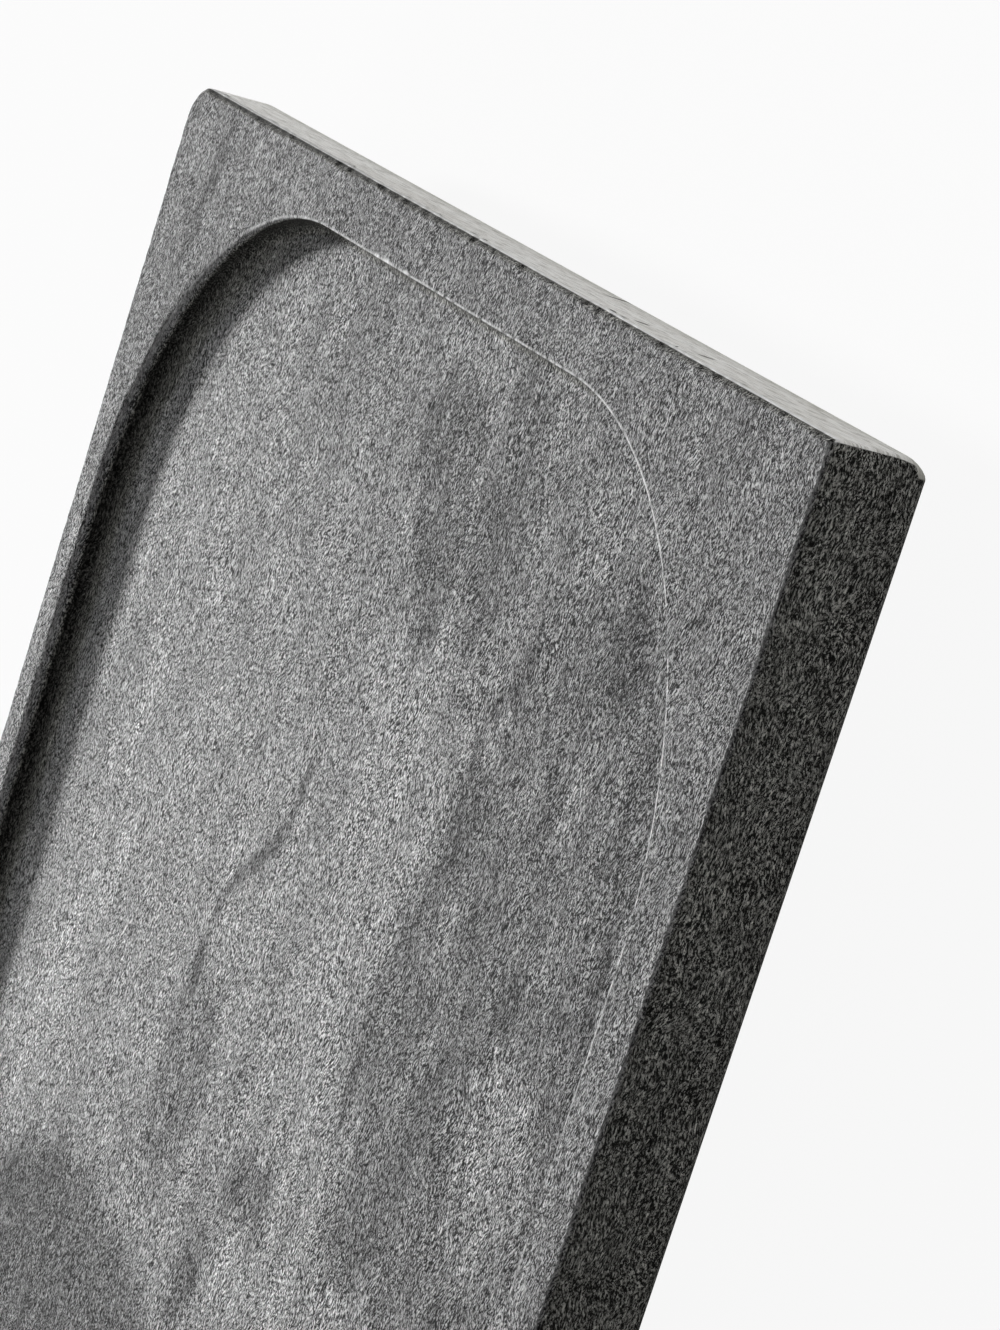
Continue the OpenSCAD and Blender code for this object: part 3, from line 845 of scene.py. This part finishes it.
def stone_shade(nodes, place, shade):
    """How much of its light the stone keeps, with soft clouds everywhere and the vein."""
    clouds = nodes.noise(nodes.stretched(place, (1.0, 0.24, 0.24), -9.0), 1 / 180.0, 5.0, 0.55, 0.9)
    shade = nodes.maths("MULTIPLY", shade, nodes.spread(clouds, 0.32, 0.68, 0.86, 1.14))
    streaks = nodes.noise(nodes.stretched(place, (70.0, 8.0, 8.0), -9.0), 1.0, 4.0, 0.65, 0.4)
    shade = nodes.maths("MULTIPLY", shade, nodes.spread(streaks, 0.3, 0.7, 0.84, 1.16))
    shade = nodes.maths("MULTIPLY", shade, on_rim(nodes, place, RIM_LIGHT))
    wavy = nodes.shifted(place, (7.0, 7.0, 7.0), 2.0, (5.0, 5.0, 5.0))
    kept = 1.0
    for (x, y), (next_x, next_y) in zip(VEIN, VEIN[1:]):
        length = math.hypot(next_x - x, next_y - y) / 2 + VEIN_WIDTH
        turn = math.degrees(math.atan2(next_y - y, next_x - x))
        middle = ((x + next_x) / 2, (y + next_y) / 2)
        kept = nodes.maths("MINIMUM", kept, patch(nodes, wavy, *middle, length, VEIN_WIDTH, turn, 0.6, VEIN_LIGHT))
    return nodes.maths("MULTIPLY", shade, kept)


def sawn_tone(nodes, place, grain):
    """The sawn ends' colour: pale, with fine brownish streaks along them and a few open cracks."""
    wavy = nodes.shifted(place, (9.0, 40.0, 9.0), 1.0, (0.0, 0.0, 1.5))
    broad = nodes.noise(nodes.stretched(wavy, (40.0, 60.0, 4.0), tip=4.0), 1.0, 4.0, 0.7)
    fine = nodes.noise(nodes.stretched(wavy, (9.0, 8.0, 0.45), tip=6.0), 1.0, 3.0, 0.7)
    tone = nodes.mix(nodes.spread(broad, 0.34, 0.58).outputs[0], rgba(0.82, 0.805, 0.77), rgba(0.96, 0.955, 0.93))
    tone = nodes.mix(nodes.spread(fine, 0.50, 0.40, 0.0, 0.7).outputs[0], tone, rgba(0.34, 0.325, 0.29))
    low = nodes.spread(nodes.add("ShaderNodeSeparateXYZ", Vector=place).outputs[2], 15.0, 24.0, 0.7, 0.0)
    tone = nodes.mix(low.outputs[0], tone, rgba(0.38, 0.375, 0.32))
    straight = nodes.shifted(place, (9.0, 6.0, 9.0), 1.0, (0.0, 0.0, 0.8))
    for y, z, length, tip in CRACKS:
        at = nodes.stretched(straight, (1000.0, length, CRACK_WIDTH), middle=(0.0, y, z), tip=tip)
        reach = nodes.add("ShaderNodeVectorMath", {"operation": "LENGTH"}, Vector=at).outputs["Value"]
        tone = nodes.mix(nodes.spread(reach, 0.7, 1.1, 0.9, 0.0).outputs[0], tone, rgba(0.05, 0.045, 0.04))
    return tone


def stone_material():
    """Honed dark stone with painted relief shading in its grain, worn edges with painted highlights, smooth dark
    upright faces with painted shade on the basin wall, its foot and the back side, and pale sawn ends.
    """
    material, nodes = new_material("honed_stone")
    metres = nodes.add("ShaderNodeTexCoord").outputs["Object"]
    place = nodes.add("ShaderNodeVectorMath", {"operation": "SCALE"}, Vector=metres, Scale=1 / MM)
    stained, shade = stone_stains(nodes, place)
    shade = stone_shade(nodes, place, shade)
    grain, speckle_and_relief_shading = stone_grain(nodes, place, stained)
    depth = nodes.maths("POWER", STONE_PALE / STONE_DARK, speckle_and_relief_shading)
    honed = nodes.tone(nodes.maths("MULTIPLY", depth, STONE_DARK))
    sheer_and_shade = nodes.mark("sheer_and_shade")
    # The upright faces darkened, with the painted shade that the mesh carries on the wall, its foot, the end bevels and
    # the back
    dimmed = nodes.maths("MULTIPLY", shade, nodes.maths("POWER", SHEER_LIGHT, sheer_and_shade))
    along = nodes.stretched(nodes.shifted(place, (9.0, 9.0, 5.0), 1.0, (3.0, 3.0, 1.6)), MARK_LENGTHS)
    marks = nodes.spread(nodes.noise(along, 1.0, 3.0, 0.8), 0.42, 0.66, MARK_DARK, MARK_PALE)
    upright = nodes.spread(sheer_and_shade, 0.3, 1.0, 0.0, MARK_SHARE)
    honed = nodes.mix(upright.outputs[0], honed, nodes.tone(marks), "MULTIPLY")
    stone = nodes.mix(1.0, honed, nodes.tone(dimmed), "MULTIPLY")
    stone = nodes.mix(sheer_and_shade, stone, rgba(1.0, 0.99, 0.92), "MULTIPLY")

    sawn = nodes.mark("sawn")
    stone = nodes.mix(sawn, stone, sawn_tone(nodes, place, grain))
    # The pale line along the edges, partly worn stone and partly a painted highlight
    rubbed_and_highlit = nodes.maths("MULTIPLY", nodes.mark("wear_and_highlight"), nodes.spread(grain, 0.35, 0.55, 0.35, 1.0), clamp=True)
    colour = nodes.mix(rubbed_and_highlit.outputs[0], stone, nodes.mix(sawn, grey(0.95), grey(0.95)))

    relief = nodes.bump(grain, GRAIN_RELIEF, nodes.spread(sheer_and_shade, 0.0, 1.0, 1.0, 0.25))
    honed_rough = nodes.spread(speckle_and_relief_shading, 0.0, 1.0, ROUGH_DARK, ROUGH_PALE)
    rough = nodes.add("ShaderNodeMix", {"data_type": "FLOAT"}, **{"#0": sheer_and_shade, "#2": honed_rough, "#3": 0.85})
    shader = nodes.add("ShaderNodeBsdfPrincipled", Roughness=rough, Normal=relief)
    nodes.put(shader, "Base Color", colour)
    nodes.put(shader, "Specular IOR Level", STONE_GLOSS)
    finish_material(nodes, shader)
    return material


def steel_material(name, tint, rough, turned):
    """Stainless steel with fine turned rings about the drain's axis."""
    material, nodes = new_material(name)
    place = nodes.add("ShaderNodeTexCoord").outputs["Object"]
    moved = nodes.add("ShaderNodeVectorMath", {"operation": "SUBTRACT"})
    nodes.put(moved, "#0", place)
    low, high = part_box("drain_body")
    nodes.put(moved, "#1", ((low.x + high.x) / 2, 0.0, 0.0))
    split = nodes.add("ShaderNodeSeparateXYZ", Vector=moved)
    square = nodes.maths("MULTIPLY", split.outputs[0], split.outputs[0])
    radius = nodes.maths("SQRT", nodes.maths("MULTIPLY_ADD", split.outputs[1], split.outputs[1], square))
    height = nodes.maths("MULTIPLY", split.outputs[2], 1.0)
    ring = nodes.add("ShaderNodeCombineXYZ", X=radius, Y=height, Z=0.0)
    marks = nodes.noise(ring, 9000.0, 2.0, 0.6)
    smudge = nodes.noise(place, 120.0, 3.0, 0.6)
    level = nodes.spread(smudge, 0.35, 0.65, rough * 0.8, rough * 1.3)
    shader = nodes.add("ShaderNodeBsdfPrincipled", Roughness=level)
    worn = nodes.spread(marks, 0.3, 0.7, 0.86, 1.0)
    tone = nodes.add("ShaderNodeCombineColor", Red=worn, Green=worn, Blue=worn)
    nodes.put(shader, "Base Color", nodes.mix(1.0, tint, tone.outputs[0], "MULTIPLY"))
    shader.inputs["Metallic"].default_value = 1.0
    nodes.put(shader, "Normal", nodes.bump(marks, 0.00002, turned))
    finish_material(nodes, shader)
    return material


def soft_material(name, low, high, rough, grain, depth):
    """Moulded rubber, silicone or foam: a matt skin with a fine uneven grain."""
    material, nodes = new_material(name)
    place = nodes.add("ShaderNodeTexCoord").outputs["Object"]
    pores = nodes.noise(place, grain, 3.0, 0.6)
    bloom = nodes.noise(place, 90.0, 3.0, 0.6)
    shader = nodes.add("ShaderNodeBsdfPrincipled")
    nodes.put(shader, "Base Color", nodes.mix(nodes.spread(bloom, 0.3, 0.7).outputs[0], low, high))
    nodes.put(shader, "Roughness", nodes.spread(pores, 0.3, 0.7, rough - 0.08, rough + 0.08))
    nodes.put(shader, "Normal", nodes.bump(pores, depth, 0.6))
    finish_material(nodes, shader)
    return material


def dress(material, *names):
    """Gives CAD nodes a material."""
    for name in names:
        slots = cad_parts[name].data.materials
        slots.clear()
        slots.append(material)


def dress_fittings():
    """The drain, its seals and the feet keep their shapes and take their finishes."""
    brushed = steel_material("turned_steel", rgba(0.62, 0.62, 0.63), 0.28, 0.5)
    polished = steel_material("polished_steel", rgba(0.75, 0.75, 0.76), 0.12, 0.15)
    rubber = soft_material("moulded_rubber", rgba(0.02, 0.02, 0.021), rgba(0.045, 0.045, 0.046), 0.62, 900.0, 0.00008)
    silicone = soft_material("clear_silicone", rgba(0.70, 0.70, 0.68), rgba(0.80, 0.80, 0.78), 0.42, 500.0, 0.00004)
    foam = soft_material("white_foam", rgba(0.72, 0.72, 0.70), rgba(0.86, 0.86, 0.84), 0.8, 1500.0, 0.0002)
    dress(brushed, "drain_body", "lock_nut", "hose_elbow", "drain_strainer")
    dress(polished, "strainer_knob")
    feet = [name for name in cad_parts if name.startswith("foot_") and name != "foot_adhesive_discs"]
    dress(rubber, "backing_washer", "elbow_seal", *feet)
    dress(silicone, "flange_seal")
    dress(foam, "foot_adhesive_discs")


bpy.context.scene.view_settings.view_transform = "Standard"
make_camera()
make_floor()
make_light()
make_slab(stone_material())
dress_fittings()
